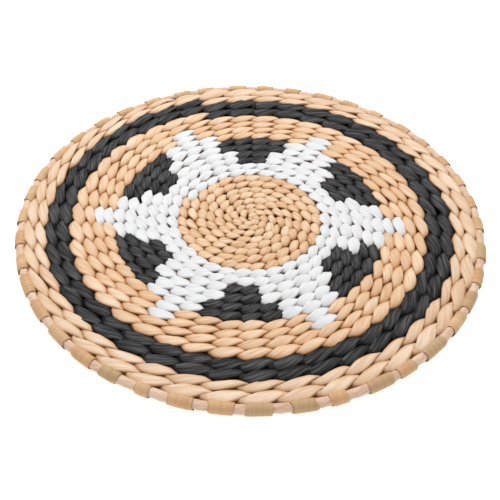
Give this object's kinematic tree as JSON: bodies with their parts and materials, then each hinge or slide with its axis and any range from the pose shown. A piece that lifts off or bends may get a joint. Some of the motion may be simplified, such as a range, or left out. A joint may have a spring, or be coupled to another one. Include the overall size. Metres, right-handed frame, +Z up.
{
  "type": "round woven seat mat",
  "caption": "Flat round seat mat, hand twined from dried leaf: a natural centre, a white star with black petals, a black band and a wrapped rim. Lies on a chair seat as a thin pad.",
  "frame": {"origin": "middle of the flat underside", "axes": "+Z up through the thickness, the seam of the weave lies near +Y"},
  "size_m": [0.3802, 0.38, 0.01],
  "materials": {
    "natural_leaf": "dry leaf strand, satin",
    "pale_leaf": "dry leaf strand, satin",
    "black_leaf": "dyed leaf strand, satin",
    "white_leaf": "painted leaf strand, satin",
    "spoke_leaf": "dry leaf strip, satin",
    "rim_leaf": "dry leaf cord, matte"
  },
  "bodies": {
    "root": {"spoke_01": "spoke_leaf", "spoke_02": "spoke_leaf", "spoke_03": "spoke_leaf", "spoke_04": "spoke_leaf", "spoke_05": "spoke_leaf", "spoke_06": "spoke_leaf", "spoke_07": "spoke_leaf", "spoke_08": "spoke_leaf", "spoke_09": "spoke_leaf", "spoke_10": "spoke_leaf", "spoke_11": "spoke_leaf", "spoke_12": "spoke_leaf", "spoke_13": "spoke_leaf", "spoke_14": "spoke_leaf", "spoke_15": "spoke_leaf", "spoke_16": "spoke_leaf", "spoke_17": "spoke_leaf", "spoke_18": "spoke_leaf", "spoke_19": "spoke_leaf", "spoke_20": "spoke_leaf", "spoke_21": "spoke_leaf", "spoke_22": "spoke_leaf", "spoke_23": "spoke_leaf", "spoke_24": "spoke_leaf", "spoke_25": "spoke_leaf", "spoke_26": "spoke_leaf", "spoke_27": "spoke_leaf", "spoke_28": "spoke_leaf", "spoke_29": "spoke_leaf", "spoke_30": "spoke_leaf", "spoke_31": "spoke_leaf", "spoke_32": "spoke_leaf", "spoke_33": "spoke_leaf", "spoke_34": "spoke_leaf", "spoke_35": "spoke_leaf", "spoke_36": "spoke_leaf", "spoke_37": "spoke_leaf", "spoke_38": "spoke_leaf", "spoke_39": "spoke_leaf", "spoke_40": "spoke_leaf", "spoke_41": "spoke_leaf", "spoke_42": "spoke_leaf", "rim_cord": "rim_leaf", "core_weft": "natural_leaf", "white_star_weft": "white_leaf", "black_petal_1": "black_leaf", "black_petal_2": "black_leaf", "black_petal_3": "black_leaf", "black_petal_4": "black_leaf", "black_petal_5": "black_leaf", "black_petal_6": "black_leaf", "natural_field_weft": "natural_leaf", "black_band_weft": "black_leaf", "outer_band_weft": "pale_leaf"}
  },
  "joints": []
}
